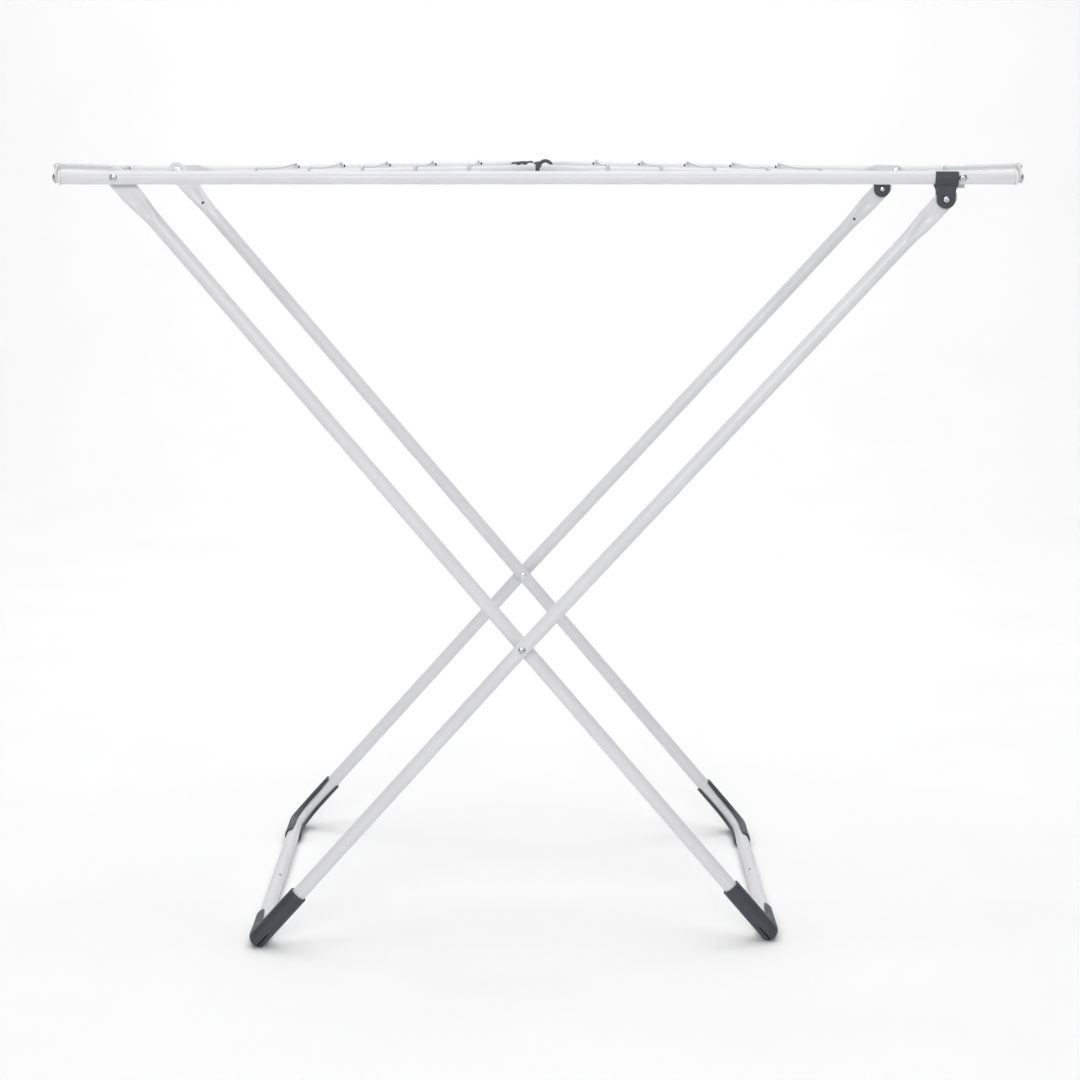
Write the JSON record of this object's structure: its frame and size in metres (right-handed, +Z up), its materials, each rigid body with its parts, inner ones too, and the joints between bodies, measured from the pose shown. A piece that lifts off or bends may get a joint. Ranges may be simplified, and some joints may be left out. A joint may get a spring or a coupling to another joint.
{
  "type": "clothes drying rack",
  "caption": "Free-standing folding clothes drying rack: a rail frame on crossed tubular legs with corner shoes, and wired wings folded in over it.",
  "frame": {"origin": "on the floor, midway between the ends and the front and back of the rack", "axes": "+X along the rails towards the rail clips, +Y to the back, +Z up"},
  "size_m": [1.1586, 0.564, 0.9758],
  "materials": {
    "white_paint": "gloss powder coat",
    "wire_paint": "gloss coat",
    "white_plastic": "satin",
    "dark_plastic": "fine moulded grain",
    "zinc": "bright zinc plate"
  },
  "bodies": {
    "rail_frame": {"front_rail": "white_paint", "front_left_rail_plug": "white_plastic", "front_left_end_screw": "zinc", "front_left_pivot_spacer": "dark_plastic", "front_left_pivot_screw": "zinc", "front_right_rail_plug": "white_plastic", "front_right_end_screw": "zinc", "front_right_pivot_spacer": "dark_plastic", "front_right_pivot_screw": "zinc", "back_rail": "white_paint", "back_left_rail_plug": "white_plastic", "back_left_end_screw": "zinc", "back_left_pivot_spacer": "dark_plastic", "back_left_pivot_screw": "zinc", "back_right_rail_plug": "white_plastic", "back_right_end_screw": "zinc", "back_right_pivot_spacer": "dark_plastic", "back_right_pivot_screw": "zinc", "front_right_arm_washer": "white_paint", "back_right_arm_washer": "white_paint", "left_end_crossbar": "white_paint", "right_end_crossbar": "white_paint", "centre_wire_left_1": "wire_paint", "centre_wire_right_1": "wire_paint", "centre_wire_left_2": "wire_paint", "centre_wire_right_2": "wire_paint", "centre_wire_left_3": "wire_paint", "centre_wire_right_3": "wire_paint", "centre_wire_left_4": "wire_paint", "centre_wire_right_4": "wire_paint"},
    "inner_leg_frame": {"front_inner_leg": "white_paint", "front_inner_leg_shoe": "dark_plastic", "front_crossing_bolt": "zinc", "front_crossing_spacer": "dark_plastic", "back_inner_leg": "white_paint", "back_inner_leg_shoe": "dark_plastic", "back_crossing_bolt": "zinc", "back_crossing_spacer": "dark_plastic"},
    "outer_leg_frame": {"front_outer_leg": "white_paint", "front_outer_leg_shoe": "dark_plastic", "front_clip_bolt": "zinc", "back_outer_leg": "white_paint", "back_outer_leg_shoe": "dark_plastic", "back_clip_bolt": "zinc"},
    "front_rail_clip_body": {"front_rail_clip": "dark_plastic"},
    "back_rail_clip_body": {"back_rail_clip": "dark_plastic"},
    "left_wing": {"left_wing_frame": "white_paint", "left_wing_wire_1": "wire_paint", "left_wing_wire_2": "wire_paint", "left_wing_wire_3": "wire_paint", "left_wing_wire_4": "wire_paint", "left_wing_wire_5": "wire_paint", "left_wing_latch_strap": "dark_plastic"},
    "right_wing": {"right_wing_frame": "white_paint", "right_wing_wire_1": "wire_paint", "right_wing_wire_2": "wire_paint", "right_wing_wire_3": "wire_paint", "right_wing_wire_4": "wire_paint", "right_wing_wire_5": "wire_paint", "right_wing_latch_hook": "dark_plastic"}
  },
  "joints": [
    {"name": "leg_fold", "type": "hinge", "parent": "rail_frame", "child": "inner_leg_frame", "pos_m": [-0.506, 0, 0.957], "axis": [0, 1, 0], "range_deg": [0, 40]},
    {"name": "leg_crossing", "type": "hinge", "parent": "inner_leg_frame", "child": "outer_leg_frame", "pos_m": [-0.0205, 0, 0.3818], "axis": [0, 1, 0], "range_deg": [-60, 0]},
    {"name": "front_clip_pivot", "type": "hinge", "parent": "outer_leg_frame", "child": "front_rail_clip_body", "pos_m": [0.487, -0.27, 0.9317], "axis": [0, 1, 0], "range_deg": [0, 20]},
    {"name": "back_clip_pivot", "type": "hinge", "parent": "outer_leg_frame", "child": "back_rail_clip_body", "pos_m": [0.487, 0.27, 0.9317], "axis": [0, 1, 0], "range_deg": [0, 20]},
    {"name": "left_wing_hinge", "type": "hinge", "parent": "rail_frame", "child": "left_wing", "pos_m": [-0.506, 0, 0.957], "axis": [0, -1, 0], "range_deg": [0, 158]},
    {"name": "right_wing_hinge", "type": "hinge", "parent": "rail_frame", "child": "right_wing", "pos_m": [0.506, 0, 0.957], "axis": [0, 1, 0], "range_deg": [0, 158]}
  ],
  "couplings": [
    {"joint": "leg_crossing", "follows": "leg_fold", "ratio": -1.5},
    {"joint": "front_clip_pivot", "follows": "leg_fold", "ratio": 0.5},
    {"joint": "back_clip_pivot", "follows": "leg_fold", "ratio": 0.5}
  ]
}
